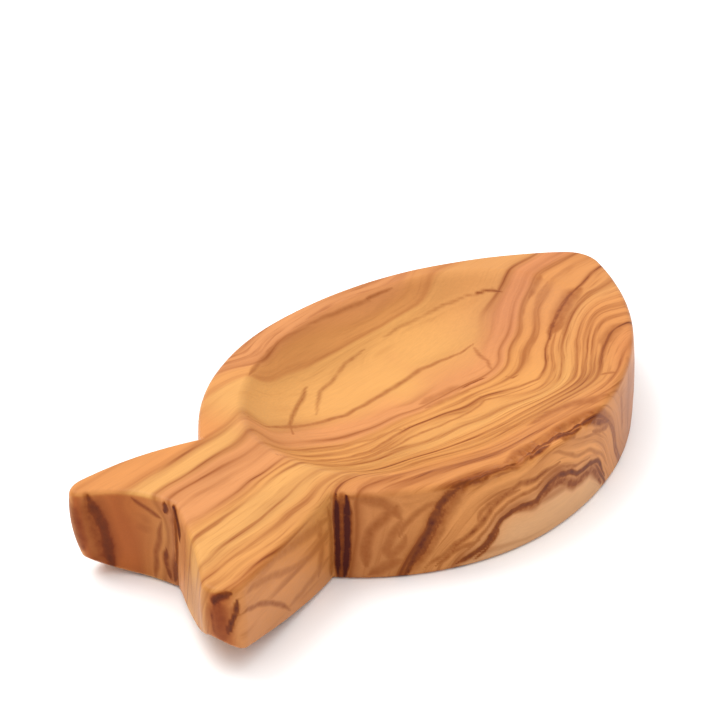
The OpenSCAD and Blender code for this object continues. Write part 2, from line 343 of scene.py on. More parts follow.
def fill(outer, hole, spacing):
    """Triangles that fill the area inside a loop and outside a hole, with points spread evenly between."""
    low, high = outer.min(0), outer.max(0)
    row_step = spacing * math.sqrt(3) / 2
    rows = []
    for row, y in enumerate(np.arange(low[1], high[1], row_step)):
        xs = np.arange(low[0] + spacing / 2 * (row % 2), high[0], spacing)
        rows.append(np.column_stack((xs, np.full(len(xs), y))))
    spread = np.concatenate(rows)
    spread = spread[inside(spread, outer)]
    spread = spread[nearest(spread, outer) > spacing / 2]
    loops = [outer]
    if hole is not None:
        spread = spread[~inside(spread, hole)]
        spread = spread[nearest(spread, hole) > spacing / 2]
        loops.append(hole)
    edges = []
    start = 0
    for loop in loops:
        edges += [(start + i, start + (i + 1) % len(loop)) for i in range(len(loop))]
        start += len(loop)
    points = np.concatenate(loops + [spread])
    vertices = [Vector(p) for p in points]
    _, _, found, origins, _, _ = delaunay_2d_cdt(vertices, edges, [], OUT_TO_HULL, MERGE_WITHIN)
    source = [ids[0] for ids in origins]
    triangles = np.array([[source[v] for v in face] for face in found])
    middles = points[triangles].mean(1)
    keep = inside(middles, outer)
    if hole is not None:
        keep &= ~inside(middles, hole)
    return spread, triangles[keep]


def turned_up(points, triangles):
    """The triangles, each turned so that it faces up."""
    a, b, c = points[triangles[:, 0]], points[triangles[:, 1]], points[triangles[:, 2]]
    area = (b[:, 0] - a[:, 0]) * (c[:, 1] - a[:, 1]) - (c[:, 0] - a[:, 0]) * (b[:, 1] - a[:, 1])
    return np.where((area > 0)[:, None], triangles, triangles[:, ::-1])


def bands(start, count, size):
    """Quads between rings that follow one another, each of the same size."""
    faces = []
    for k in range(count - 1):
        low = start + k * size
        for i in range(size):
            j = (i + 1) % size
            faces.append((low + i, low + size + i, low + size + j, low + j))
    return faces


def foot_heights(plan):
    """Heights of the underside at points within the lowest ring, which they meet at its edge."""
    edge = rings[0]
    misfit = edge[:, 2] - underside(edge)
    return np.maximum(0, underside(plan) + carried(plan, edge, misfit))


def rim_heights(plan):
    """Heights of the rim at points between the hollow's lip and the outer edge."""
    lip = bowl[0]
    dips = carried(plan, lip, THICKNESS - lip[:, 2])
    to_lip = nearest(plan, lip)
    to_edge = nearest(plan, rings[-1])
    return THICKNESS - dips * to_edge / (to_lip + to_edge)


def build_dish():
    outer_points = np.concatenate(rings)
    bowl_points = np.concatenate(bowl)
    top_loop, lip_loop, foot_loop = rings[-1][:, :2], bowl[0][:, :2], rings[0][:, :2]
    top_spread, top_triangles = fill(top_loop, lip_loop, TOP_SPACING)
    foot_spread, foot_triangles = fill(foot_loop, None, FOOT_SPACING)
    top_points = np.column_stack((top_spread, rim_heights(top_spread)))
    foot_points = np.column_stack((foot_spread, foot_heights(foot_spread)))
    centre = np.array([(deepest[0], deepest[1], THICKNESS - HOLLOW_DEPTH)])

    bowl_start = len(outer_points)
    centre_index = bowl_start + len(bowl_points)
    top_start = centre_index + 1
    foot_start = top_start + len(top_points)
    points = np.concatenate((outer_points, bowl_points, centre, top_points, foot_points))

    faces = bands(0, len(rings), LOOP)
    faces += bands(bowl_start, len(bowl), OVAL)
    last = centre_index - OVAL
    faces += [(last + (i + 1) % OVAL, last + i, centre_index) for i in range(OVAL)]

    top_row = (len(rings) - 1) * LOOP
    top_index = np.concatenate((
        top_row + np.arange(LOOP), bowl_start + np.arange(OVAL), top_start + np.arange(len(top_points))))
    top_plan = np.concatenate((top_loop, lip_loop, top_spread))
    faces += [tuple(f) for f in top_index[turned_up(top_plan, top_triangles)].tolist()]
    foot_index = np.concatenate((np.arange(LOOP), foot_start + np.arange(len(foot_points))))
    foot_plan = np.concatenate((foot_loop, foot_spread))
    faces += [tuple(f[::-1]) for f in foot_index[turned_up(foot_plan, foot_triangles)].tolist()]

    points[:, :2] -= OUTLINE_MIDDLE
    mesh = bpy.data.meshes.new("carved_dish")
    mesh.from_pydata((points * MM).tolist(), [], faces)
    mesh.validate()
    mesh.update()
    return mesh


# Waves of hand sanding: height and length of each. They die out towards the underside.
HAND_WAVES = ((0.10, 24.0), (0.05, 9.0))
LEVEL_BELOW = 1.5


def vertex_normals(mesh):
    return np.array([v.normal[:] for v in mesh.vertices])


def move_vertices(mesh, places):
    mesh.vertices.foreach_set("co", (places * MM).ravel())
    mesh.update()


def hand_finish(mesh):
    """Moves the surface in and out by up to about a tenth of a millimetre, as hand sanding leaves it."""
    count = len(mesh.vertices)
    places = np.empty(count * 3)
    mesh.vertices.foreach_get("co", places)
    places = places.reshape(-1, 3) / MM
    moves = np.zeros(count)
    for height, length in HAND_WAVES:
        moves += [height * noise.noise(Vector(p) / length) for p in places]
    moves *= np.clip(places[:, 2] / LEVEL_BELOW, 0, 1)
    places += vertex_normals(mesh) * moves[:, None]
    places[:, 2] = np.clip(places[:, 2], 0, THICKNESS)
    move_vertices(mesh, places)
    return places


# Camera, fitted to the outline in the photograph
FOCAL_PIXELS = 3000.0
HEADING = math.radians(41.37257)
ELEVATION = math.radians(30.20661)
ROLL = math.radians(-1.46634)
DISTANCE = 709.749
TARGET = np.array((7.853, 15.222, 22.9))
SENSOR = 36.0
CLIP_START = 10.0

forward = np.array((
    math.cos(HEADING) * math.cos(ELEVATION), math.sin(HEADING) * math.cos(ELEVATION), -math.sin(ELEVATION)))
level_right = np.array((math.sin(HEADING), -math.cos(HEADING), 0))
level_up = np.cross(level_right, forward)
right = math.cos(ROLL) * level_right + math.sin(ROLL) * level_up
up = -math.sin(ROLL) * level_right + math.cos(ROLL) * level_up
eye = TARGET - DISTANCE * forward


def add_camera():
    data = bpy.data.cameras.new("camera")
    data.sensor_width = SENSOR
    data.sensor_fit = "HORIZONTAL"
    data.lens = SENSOR * FOCAL_PIXELS / IMAGE_SIDE
    data.clip_start = CLIP_START * MM
    camera = bpy.data.objects.new("camera", data)
    basis = np.column_stack((right, up, -forward))
    matrix = Matrix(basis.tolist()).to_4x4()
    matrix.translation = Vector(eye * MM)
    camera.matrix_world = matrix
    bpy.context.scene.collection.objects.link(camera)
    bpy.context.scene.camera = camera


# Grain lines traced in the photograph, in pixels, each with the growth layer that it follows.
# A layer is numbered by its distance in millimetres across the block, from the near side to the far side.
GRAIN_LINES = (
    (37, ((258, 362), (278, 343), (306, 326), (332, 314), (360, 303), (392, 289))),
    (30, ((248, 376), (280, 378), (300, 371), (320, 361), (340, 351), (360, 340), (380, 330), (400, 317),
        (420, 306), (432, 288), (436, 276))),
    (24.5, ((262, 400), (285, 402), (312, 392), (340, 370), (362, 350), (381, 338), (400, 327), (418, 318),
        (440, 307), (458, 299), (473, 293))),
    (22, ((300, 411), (345, 397), (380, 377), (420, 350), (455, 330))),
    (19, ((131, 495), (150, 476), (180, 457), (200, 444), (220, 431), (235, 419), (244, 413), (250, 417),
        (265, 426), (290, 427), (320, 422), (345, 415), (380, 396), (420, 370), (455, 355), (478, 342),
        (484, 320), (489, 308), (503, 285), (515, 266), (535, 256))),
    (12.6, ((156, 494), (180, 479), (200, 466), (220, 453), (240, 441), (257, 431), (270, 440), (300, 443),
        (340, 438), (380, 425), (420, 409), (440, 398), (470, 383), (500, 362), (506, 340), (514, 312),
        (524, 285), (535, 268))),
    (8.5, ((180, 490), (200, 479), (220, 468), (240, 458), (255, 448), (265, 443))),
    (8, ((440, 404), (470, 390), (486, 383), (500, 374), (508, 362), (511, 347), (521, 312), (527, 298),
        (538, 275), (560, 262))),
    (-0.5, ((185, 527), (200, 516), (220, 504), (240, 490), (255, 477), (264, 473), (283, 457), (300, 459),
        (340, 459), (360, 455), (380, 446), (400, 433), (420, 423), (440, 415), (470, 405), (480, 397),
        (500, 392), (520, 386), (538, 379), (547, 362), (548, 342), (555, 318), (568, 297), (578, 288))),
    (-4, ((191, 543), (208, 528), (225, 515), (245, 501), (260, 489), (267, 481), (282, 470), (297, 464))),
    (-6, ((345, 466), (380, 459), (420, 445), (440, 437), (480, 419), (520, 401), (545, 391), (558, 380),
        (561, 345), (568, 322), (576, 307), (590, 293))),
    (-11, ((198, 571), (207, 560), (220, 547), (240, 533), (262, 518), (280, 502), (300, 484), (318, 470))),
    (-12, ((420, 452), (450, 441), (480, 428), (520, 408), (550, 394), (574, 374), (575, 350), (578, 330),
        (585, 312), (600, 300), (618, 294))),
    (-19, ((590, 365), (593, 345), (597, 325), (610, 316), (626, 312))),
    (-16, ((225, 562), (250, 545), (290, 512), (305, 502), (320, 485), (338, 474))),
    (-22, ((235, 580), (260, 558), (290, 537), (315, 520), (333, 502))),
    (-22, ((345, 480), (380, 472), (420, 461), (450, 453), (480, 444), (500, 434), (540, 412), (585, 387),
        (598, 370))),
    (-40, ((404, 574), (412, 560), (424, 541), (434, 523), (441, 510), (450, 498), (460, 488), (480, 477),
        (500, 469), (520, 462), (535, 450), (553, 438), (575, 426), (600, 417), (612, 428), (615, 450))),
    (-50, ((464, 561), (480, 550), (491, 537), (499, 524), (508, 514), (520, 507), (535, 502), (545, 489),
        (560, 477), (574, 479), (583, 471), (591, 465), (599, 472), (604, 482))),
    (25, ((88, 495), (98, 520), (107, 545), (112, 564))),
    (16, ((131, 499), (150, 512), (158, 525), (155, 550), (155, 577))),
    (-28.5, ((240, 617), (258, 606), (277, 603), (288, 612))),
)
LAYER_SOFTNESS = 6.0
LAYER_SMOOTHING = 0.1

# Other traced marks: half width in millimetres, strength, and pixels along the mark
MARKS = (
    # Veins, cracks and single lines on the hollow's floor
    (1.2, 0.44, ((244, 414), (250, 418), (265, 426), (290, 427), (320, 422), (345, 415), (380, 396),
        (420, 370), (440, 361), (458, 354), (474, 344))),
    (1.08, 0.45, ((293, 434), (290, 426), (292, 416), (299, 404), (305, 393), (307, 386))),
    (0.88, 0.36, ((316, 415), (317, 404), (321, 391), (332, 380), (346, 363), (355, 356), (366, 348))),
    (0.81, 0.31, ((381, 338), (400, 327), (418, 318), (440, 307), (460, 298), (473, 294))),
    (0.74, 0.72, ((472, 294), (482, 292), (492, 290), (503, 292))),
    (0.81, 0.38, ((473, 346), (480, 355), (488, 361), (490, 367), (495, 371))),
    (0.68, 0.68, ((462, 388), (470, 384), (480, 380), (486, 378))),
    (0.81, 0.54, ((504, 376), (512, 378), (518, 375))),
    # Double dark line along the hollow and up its snout end
    (0.95, 0.45, ((276, 454), (284, 456), (300, 459), (325, 460), (340, 459), (350, 457), (360, 454),
        (370, 451), (380, 445), (390, 439), (400, 433), (410, 427), (420, 424), (440, 416), (450, 412),
        (460, 409), (470, 406), (477, 402), (480, 397), (490, 395), (505, 391), (520, 386), (538, 379),
        (545, 370), (548, 358), (548, 342))),
    (0.85, 0.4, ((305, 463), (330, 466), (350, 464), (370, 457), (390, 449), (410, 438), (420, 433),
        (440, 426), (450, 421), (470, 412), (480, 405), (484, 400), (495, 398), (520, 390), (541, 381))),
    (1.2, 0.32, ((268, 446), (290, 450), (320, 451), (340, 448), (355, 443), (370, 440), (380, 436),
        (395, 431), (405, 428))),
    # Brown streaks up the hollow's snout-end wall; the broad second one is also painted shade where that
    # inner wall of the hollow lies in shadow
    (1.62, 0.66, ((549, 340), (553, 324), (560, 310), (568, 297), (577, 288))),
    (4.2, 0.46, ((556, 332), (561, 313), (569, 298), (580, 288))),
    (1.22, 0.45, ((562, 340), (567, 322), (575, 309), (582, 299))),
    (2.0, 0.42, ((529, 298), (535, 284), (540, 275))),
    (1.08, 0.36, ((520, 320), (525, 304), (531, 292))),
    (1.6, 0.32, ((532, 345), (536, 316), (540, 296), (548, 282))),
    (3.8, 0.42, ((603, 346), (607, 337), (614, 329), (622, 324))),
    (0.94, 0.5, ((597, 376), (607, 373), (620, 372))),
    # Soft brown smudges in the rose wood and on the near rim
    (2.6, 0.3, ((420, 404), (438, 396), (453, 389), (468, 386))),
    (2.0, 0.32, ((426, 408), (446, 400), (460, 394), (470, 391))),
    (3.6, 0.44, ((530, 425), (550, 412), (572, 404), (592, 400), (608, 394))),
    (1.6, 0.4, ((500, 432), (515, 425), (530, 417), (545, 412))),
    (1.8, 0.34, ((333, 492), (340, 483), (348, 477), (358, 474))),
    (1.6, 0.32, ((356, 492), (366, 484), (377, 478), (388, 475))),
    # Brown streaks along the far lip
    (1.22, 0.38, ((249, 375), (256, 365), (270, 350), (280, 342))),
    (1.08, 0.32, ((303, 327), (318, 320), (332, 314), (348, 307), (360, 303), (371, 300))),
    (0.8, 0.44, ((364, 301), (373, 296), (383, 292), (394, 288))),
    # Rough dark edge along the near rim
    (2.9, 0.52, ((500, 466), (520, 452), (535, 444), (547, 437), (560, 427), (573, 420), (587, 413),
        (600, 412), (610, 417))),
    (2.8, 0.66, ((444, 494), (455, 487), (468, 482), (482, 478), (492, 473))),
    (1.7, 0.54, ((478, 476), (490, 470), (503, 467), (515, 467), (525, 465))),
    (1.3, 0.85, ((523, 466), (529, 460), (532, 455), (540, 450), (547, 445), (550, 440), (556, 437),
        (566, 434), (574, 431), (583, 427))),
    (1.6, 0.5, ((556, 437), (565, 438), (574, 436), (573, 430), (577, 423))),
    (2.2, 0.66, ((574, 423), (582, 421), (592, 421), (601, 422), (609, 420))),
    (1.5, 0.5, ((592, 431), (600, 431), (606, 427), (610, 421))),
    # Two scorched bands at the near neck corner, and the brown wood between them
    (4.6, 0.62, ((342, 496), (343, 520), (343, 550), (341, 577))),
    (1.4, 1.25, ((336, 494), (337, 520), (338, 550), (338, 577))),
    (1.7, 1.25, ((347, 496), (347, 520), (347, 550), (345, 577))),
    # Dark bands across the near wall
    (5.0, 0.56, ((404, 573), (413, 561), (421, 549), (428, 538), (435, 525), (441, 513), (447, 502),
        (457, 492), (470, 485))),
    (2.4, 0.86, ((407, 573), (412, 562), (418, 550), (424, 540), (430, 528), (435, 516), (440, 505),
        (448, 495), (460, 487))),
    (1.2, 0.7, ((418, 560), (426, 548), (432, 537), (438, 524), (443, 512))),
    (1.6, 0.56, ((442, 560), (462, 541), (480, 525), (491, 509), (506, 494), (521, 483), (536, 479),
        (548, 470), (560, 462))),
    (1.1, 0.52, ((452, 562), (470, 548), (486, 530), (496, 515), (508, 503), (523, 494), (537, 488),
        (546, 478), (560, 467), (575, 466), (590, 457))),
    (1.6, 0.46, ((416, 566), (426, 556), (434, 546), (440, 535), (446, 520))),
    (1.5, 0.42, ((400, 536), (405, 524), (415, 515), (428, 506), (442, 499))),
    (2.6, 0.46, ((397, 506), (384, 518), (371, 531), (365, 547), (367, 566))),
    (2.2, 0.42, ((402, 519), (393, 534), (386, 549), (392, 556), (402, 546), (406, 535))),
    (2.6, 0.42, ((370, 575), (384, 567), (395, 562), (404, 560))),
    (2.8, 0.42, ((351, 498), (366, 499), (382, 503), (394, 511), (400, 518))),
    (1.3, 0.46, ((424, 568), (445, 553), (456, 543), (470, 535), (480, 526))),
    (1.3, 0.52, ((436, 566), (452, 552), (466, 546), (480, 540))),
    (1.5, 0.8, ((456, 564), (469, 557), (481, 548), (489, 539), (495, 528))),
    (1.1, 0.66, ((474, 560), (485, 551), (494, 539), (500, 527))),
    (1.4, 0.48, ((478, 522), (481, 512), (487, 505), (500, 497), (520, 490))),
    (1.5, 0.82, ((463, 561), (478, 552), (489, 542), (495, 530), (502, 519), (512, 511), (525, 505),
        (536, 501), (542, 492), (550, 482), (561, 474), (570, 472), (577, 474), (583, 470), (590, 463),
        (597, 460), (601, 467), (604, 477), (606, 484))),
    (2.6, 0.6, ((512, 513), (536, 503), (553, 485), (562, 480), (574, 484), (583, 477), (591, 469),
        (597, 475), (601, 483))),
    (1.0, 0.4, ((545, 456), (560, 451), (575, 456), (590, 450), (601, 453), (607, 466))),
    # Upright lines on the snout's wall
    (1.4, 0.6, ((611, 421), (614, 432), (616, 450), (618, 466))),
    (6.5, 0.2, ((620, 470), (626, 420), (629, 360))),
    (1.7, 0.42, ((621, 460), (622, 430), (621, 392))),
    (1.3, 0.42, ((627, 432), (628, 400), (627, 365))),
    # Dark marks in the notch and on the tail's end faces
    (1.22, 0.9, ((164, 502), (166, 509), (164, 513))),
    (2.2, 1.1, ((173, 506), (176, 516), (179, 530), (180, 542))),
    (0.94, 0.54, ((131, 497), (142, 506), (152, 513), (162, 520))),
    (1.22, 0.45, ((161, 522), (160, 538), (156, 552), (156, 577))),
    (3.2, 0.74, ((174, 506), (176, 530), (177, 555), (175, 581))),
    (1.62, 0.68, ((166, 548), (167, 566), (171, 580), (178, 586))),
    (2.8, 0.78, ((87, 495), (94, 509), (102, 525), (108, 545), (112, 565), (107, 563))),
    (5.2, 0.52, ((86, 496), (91, 509), (97, 525), (103, 545), (107, 562), (97, 559))),
    (1.9, 0.92, ((213, 604), (216, 599), (222, 596), (232, 593))),
    (0.8, 0.62, ((214, 600), (212, 618), (214, 636))),
    (0.7, 0.5, ((226, 598), (224, 616), (222, 640))),
    (1.3, 0.92, ((237, 600), (236, 612), (231, 623), (229, 634), (228, 646))),
    (3.8, 0.46, ((219, 603), (221, 620), (223, 641))),
    (1.4, 0.36, ((208, 602), (207, 615), (206, 632))),
    (0.9, 0.5, ((185, 532), (185, 560), (184, 588))),
    (8.0, 0.27, ((182, 530), (186, 560), (190, 592), (201, 618))),
    (0.9, 0.46, ((190, 550), (191, 578), (193, 606))),
    (2.4, 0.34, ((318, 520), (322, 545), (319, 576))),
    (1.8, 0.4, ((328, 506), (331, 540), (331, 575))),
    (4.5, 0.52, ((69, 500), (74, 520), (82, 548))),
    # Wavy lines along the near lobe's side
    (1.1, 0.52, ((237, 617), (248, 609), (260, 604), (274, 603), (284, 606), (290, 610))),
    (1.6, 0.26, ((288, 608), (299, 596), (313, 578), (331, 555))),
    (1.6, 0.34, ((237, 600), (253, 586), (270, 577), (290, 570), (310, 557), (325, 543))),
    (2.4, 0.34, ((240, 584), (262, 566), (285, 550), (310, 533), (330, 516))),
)
# Share of a mark's width that is fully dark, its width at the ends, and how fast it swells from there
MARK_CORE = 0.12
MARK_END = 0.3
MARK_SWELL = 4.0
# Marks fray sideways by up to this many millimetres, over waves of this length, the same in each run
FRAY = 0.35
FRAY_LENGTH = 3.5
FRAY_SEED = 3
# Marks at least this strong are burnt in with a straight edge
SCORCHED = 1.2

# Rough near edge: reach to both sides, height and length of its lumps, share and length of finer lumps,
# level that all lumps lie below, and pixels along the edge
ROUGH_REACH = 3.2
ROUGH_HEIGHT = 1.4
ROUGH_LENGTH = 3.0
FINE_SHARE = 0.6
FINE_LENGTH = 1.5
ROUGH_LEVEL = 0.5
ROUGH_EDGE = ((470, 480), (490, 473), (512, 461), (524, 456), (535, 445), (548, 437), (560, 431), (575, 422),
              (586, 418))


def hits(tree, pixels):
    """Points of the surface that the photograph shows at these pixels."""
    half = IMAGE_SIDE / 2
    found = []
    for x, y in pixels:
        ray = forward + right * ((x - half) / FOCAL_PIXELS) - up * ((y - half) / FOCAL_PIXELS)
        hit = tree.ray_cast(Vector(eye), Vector(ray))[0]
        if hit is not None:
            found.append(hit[:])
    return np.array(found)


def beside(spots, a, b):
    """Share of the way from a to b where each spot lies, and its distance from there."""
    share = np.clip((spots - a) @ (b - a) / ((b - a) @ (b - a)), 0, 1)
    return share, np.linalg.norm(spots - a - share[:, None] * (b - a), axis=1)


def growth_layers(tree, places, directions):
    """Growth layer at each vertex, from a smooth field through the traced lines, and its pitch there."""
    traced = [(hits(tree, pixels), level) for level, pixels in GRAIN_LINES]
    knots = np.concatenate([points for points, level in traced])
    levels = np.concatenate([np.full(len(points), level) for points, level in traced])
    count = len(knots)

    def spread(points):
        gaps = np.linalg.norm(points[:, None] - knots[None], axis=2)
        return np.sqrt(gaps * gaps + LAYER_SOFTNESS ** 2)

    trend = np.column_stack((np.ones(count), knots))
    rest = np.zeros(trend.shape[1])
    system = np.zeros((count + len(rest), count + len(rest)))
    system[:count, :count] = spread(knots) - LAYER_SMOOTHING * np.eye(count)
    system[:count, count:] = trend
    system[count:, :count] = trend.T
    weights = np.linalg.solve(system, np.concatenate((levels, rest)))
    layers = np.empty(len(places))
    pitches = np.empty(len(places))
    for i in range(0, len(places), GRAIN_CHUNK):
        some = places[i:i + GRAIN_CHUNK]
        reach = spread(some)
        layers[i:i + GRAIN_CHUNK] = reach @ weights[:count] + weights[count] + some @ weights[count + 1:]
        pull = weights[:count] / reach
        slope = pull.sum(1)[:, None] * some - pull @ knots + weights[count + 1:]
        across = directions[i:i + GRAIN_CHUNK]
        slope -= (slope * across).sum(1)[:, None] * across
        pitches[i:i + GRAIN_CHUNK] = np.linalg.norm(slope, axis=1)
    return layers, pitches


def roughen(mesh, places, tree):
    """Small lumps along the near edge, where the wood was left rough; all lie below the smooth surface."""
    path = hits(tree, ROUGH_EDGE)
    gaps = np.full(len(places), np.inf)
    for a, b in zip(path, path[1:]):
        gaps = np.minimum(gaps, beside(places, a, b)[1])
    near = np.flatnonzero(gaps < ROUGH_REACH)
    lumps = np.array([noise.noise(Vector(p) / ROUGH_LENGTH) for p in places[near]])
    lumps += FINE_SHARE * np.array([noise.noise(Vector(p) / FINE_LENGTH) for p in places[near]])
    fade = 1 - smoothstep(0, ROUGH_REACH, gaps[near])
    depth = ROUGH_HEIGHT * np.clip(ROUGH_LEVEL - lumps, 0, 1) * fade
    places[near] -= vertex_normals(mesh)[near] * depth[:, None]
    move_vertices(mesh, places)


def mark_strength(tree, places):
    """Darkness of the traced marks at each vertex; each mark tapers towards its ends."""
    noise.seed_set(FRAY_SEED)
    frayed = places + FRAY * np.array([noise.noise_vector(Vector(p) / FRAY_LENGTH)[:] for p in places])
    darkness = np.zeros(len(places))
    for width, strength, pixels in MARKS:
        spots = places if strength >= SCORCHED else frayed
        path = hits(tree, pixels)
        runs = np.linalg.norm(np.diff(path, axis=0), axis=1)
        total = runs.sum()
        start = 0.0
        for a, b, run in zip(path, path[1:], runs):
            share, gap = beside(spots, a, b)
            along_mark = (start + share * run) / total
            taper = np.minimum(1, MARK_END + MARK_SWELL * np.minimum(along_mark, 1 - along_mark))
            inner = 1 - smoothstep(MARK_CORE, 1, gap / (width * taper))
            darkness = np.maximum(darkness, strength * inner)
            start += run
    return darkness


# Colours of the wood as the photograph shows them, in display values. The light and the oil's sheen turn a
# surface colour into these.
LIGHT_LEVEL = 1.62
OIL_SHEEN = 0.018
DARKEST = 0.002


def wood_colour(red, green, blue):
    """Linear surface colour that shows as this display colour under the scene's light and the oil's sheen."""
    values = []
    for value in (red, green, blue):
        # The curve by which a display turns a value into light
        light = ((value / 255 + 0.055) / 1.055) ** 2.4
        values.append(max(DARKEST, light - OIL_SHEEN) / LIGHT_LEVEL)
    return (*values, 1)


PALE = wood_colour(247, 180, 105)
HONEY = wood_colour(246, 173, 99)
AMBER = wood_colour(240, 160, 92)
ROSE = wood_colour(242, 164, 103)
OLIVE = wood_colour(241, 167, 97)
TAN = wood_colour(236, 158, 96)
SAND = wood_colour(252, 192, 137)
COPPER = wood_colour(255, 174, 102)
UMBER = wood_colour(172, 94, 44)
DARK = wood_colour(96, 45, 20)
# Tints that lie over these colours
END_GRAIN = (0.62, 0.31, 0.145, 1)
SNOUT_TINT = (0.97, 0.89, 0.93, 1)
# Painted shade: the snout's outer wall, which turns away from the light, is made darker and bluer
SNOUT_WALL_PAINTED_SHADE = (0.8, 0.79, 0.96, 1)

# Growth layers at the two ends of the colour ramps
LAYER_LOW = -62.0
LAYER_HIGH = 48.0

# Tone of the wood between its lines, by growth layer, in the tail and in the body
TAIL_TONES = (
    (-60, TAN), (-30, TAN), (-24, AMBER), (-20, HONEY), (-15, HONEY), (-12, PALE), (-5, PALE), (-2.5, HONEY),
    (0, ROSE), (11, ROSE), (13.5, PALE), (18, PALE), (20, AMBER), (40, AMBER))
BODY_TONES = (
    (-60, SAND), (-52, SAND), (-48, COPPER), (-42, COPPER), (-36, AMBER), (-28, AMBER), (-22, HONEY),
    (-14, HONEY), (-8, PALE), (-2, HONEY), (3, HONEY), (8, HONEY), (11, ROSE), (17, ROSE), (20, PALE),
    (29.6, PALE), (30.6, OLIVE), (35, OLIVE), (37.5, ROSE), (46, ROSE))

# Dark lines: growth layer, how far each fades towards the near side and the far side, and strength
RING_LINES = (
    ((44, 1.5, 1.5, 0.2), (37.2, 1.2, 0.8, 0.26), (30.6, 0.5, 1.2, 0.18), (19.1, 1.0, 0.8, 0.5),
     (8.6, 1.3, 1.0, 0.36)),
    ((40.5, 1.2, 0.8, 0.24), (12.8, 0.8, 0.6, 0.48), (-0.5, 0.7, 0.5, 0.4), (-16.2, 1.1, 0.9, 0.42),
     (-28.4, 0.8, 0.6, 0.3)),
    ((-2.2, 0.6, 0.4, 0.28), (-22.6, 1.2, 0.9, 0.5), (-39.8, 1.2, 1.3, 0.7), (-49.8, 0.8, 1.0, 0.76)),
)
TAIL_LINES = (
    (28, 1.0, 0.8, 0.2), (4.5, 0.7, 0.8, 0.16), (-4.2, 0.5, 0.4, 0.44), (-11.2, 0.7, 0.6, 0.36),
    (-19.4, 0.8, 0.6, 0.3))
BODY_LINES = (
    (3.6, 1.0, 0.8, 0.34), (-6.2, 1.1, 0.8, 0.34), (-12.4, 0.9, 0.7, 0.28), (-19.2, 1.0, 0.8, 0.3),
    (-32.5, 1.5, 1.4, 0.42))
# Each line has a core and a soft halo, at these multiples of its fades
LINE_CORE = 0.2
HALO_EDGE = 1.0
HALO_SHARE = 0.4
HALO_REACH = 2.6

# Places along the dish, in millimetres from the frame's origin
TAIL_END = -38.0
BODY_START = -24.0
MIDDLE = -15.0
TAIL_CUT = (-52, -45)
SNOUT_TOP = (35, 58)
# Stretch of the snout's outer wall that takes the painted shade
SNOUT_SHADE_SPAN = (26, 44)

# Directions along the grain and up, and those in which the fibres end, in the body and in the tail
GRAINWARD = (1, 0, 0)
UPWARD = (0, 0, 1)
FIBRE_END = (1, 0, 0, 1)
TAIL_FIBRE_END = (0.78, 0.44, 0, 1)

# Noises: scale, detail and roughness of each, and how the grain stretches some of them along the three axes
GRAIN_STRETCH = (0.4, 1.0, 1.0)
LONG_WAVES = (0.07, 2.0, 0.5)
SHORT_WAVES = (0.4, 3.0, 0.5)
CLOUDS = (0.06, 2.0, 0.5)
SHEET_STRETCH = 0.07
LINE_CHANGES = (0.5, 1.0, 0.5)
SOFT_BANDS = (0.28, 1.5, 0.5)
THIN_STREAKS = (0.9, 2.5, 0.6)
FLAME_STRETCH = (0.011, 0.12, 0.3)
FLAMES = (1.0, 2.0, 0.5)
MOTTLES = (0.6, 3.0, 0.6)
FIBRE_STRETCH = (0.12, 2.4, 2.4)
FIBRES = (1.0, 3.0, 0.6)
NOISE_MEAN = 0.5
LONG_WAVE_SIZE = 1.2
SHORT_WAVE_SIZE = 0.4

# What a value between the first two numbers becomes, from the third number to the fourth
LINE_CHANGE = (0.32, 0.68, 0.35, 1.2)
BAND_SHADE = (0.47, 0.74, 0.0, 0.2)
STREAK_SHADE = (0.48, 0.76, 0.0, 0.27)
FLAME_SHADE = (0.46, 0.72, 0.0, 0.4)
MOTTLE_SHADE = (0.3, 0.7, 0.78, 1.1)
CLOUD_SHADE = (0.3, 0.7, 0.92, 1.05)
FIBRE_SHADE = (0.25, 0.75, 0.94, 1.05)
FIBRE_ROUGHNESS = (0.2, 0.8, 0.36, 0.48)
TAIL_TO_BODY_LINES = (0.0, 1.0, 1.2, 1.0)
TAIL_TO_BODY_TEXTURE = (0.0, 1.0, 0.6, 1.0)
NEAR_LAYERS_TEXTURE = (-4, 12, 1.0, 0.3)
FAR_LAYERS_TEXTURE = (33, 40, 0.0, 1.0)
PITCH_TO_CROSSING = (0.35, 0.8, 0.06, 1.0)
SLOPE_TO_UPRIGHT = (0.2, 0.6, 1.0, 0.0)
FACING_TO_END = (0.7, 0.97, 0.0, 1.0)
MIDDLE_TO_END = (37, 55, 0.4, 1.0)
END_LINES = (0.0, 1.0, 1.0, 0.35)
END_TONE = (0.0, 1.0, 0.0, 0.75)
# Painted shade on the snout's wall: full up to the first height, gone at the second, just below the rim
SNOUT_SHADE_HEIGHT = (17, 20.5, 1.0, 0.0)
SHADE_TO_BROWN = (0.0, 0.6, 0.0, 1.0)
SHADE_TO_DARK = (0.5, 1.0, 0.0, 1.0)
SHADE_TO_OIL = (0.6, 1.0, 1.0, 0.3)

# Finish of the surface; the fibres stand out by hundredths of a millimetre
SPECULAR = 0.15
FIBRE_RELIEF = 0.25
FIBRE_HEIGHT = 0.08 * MM


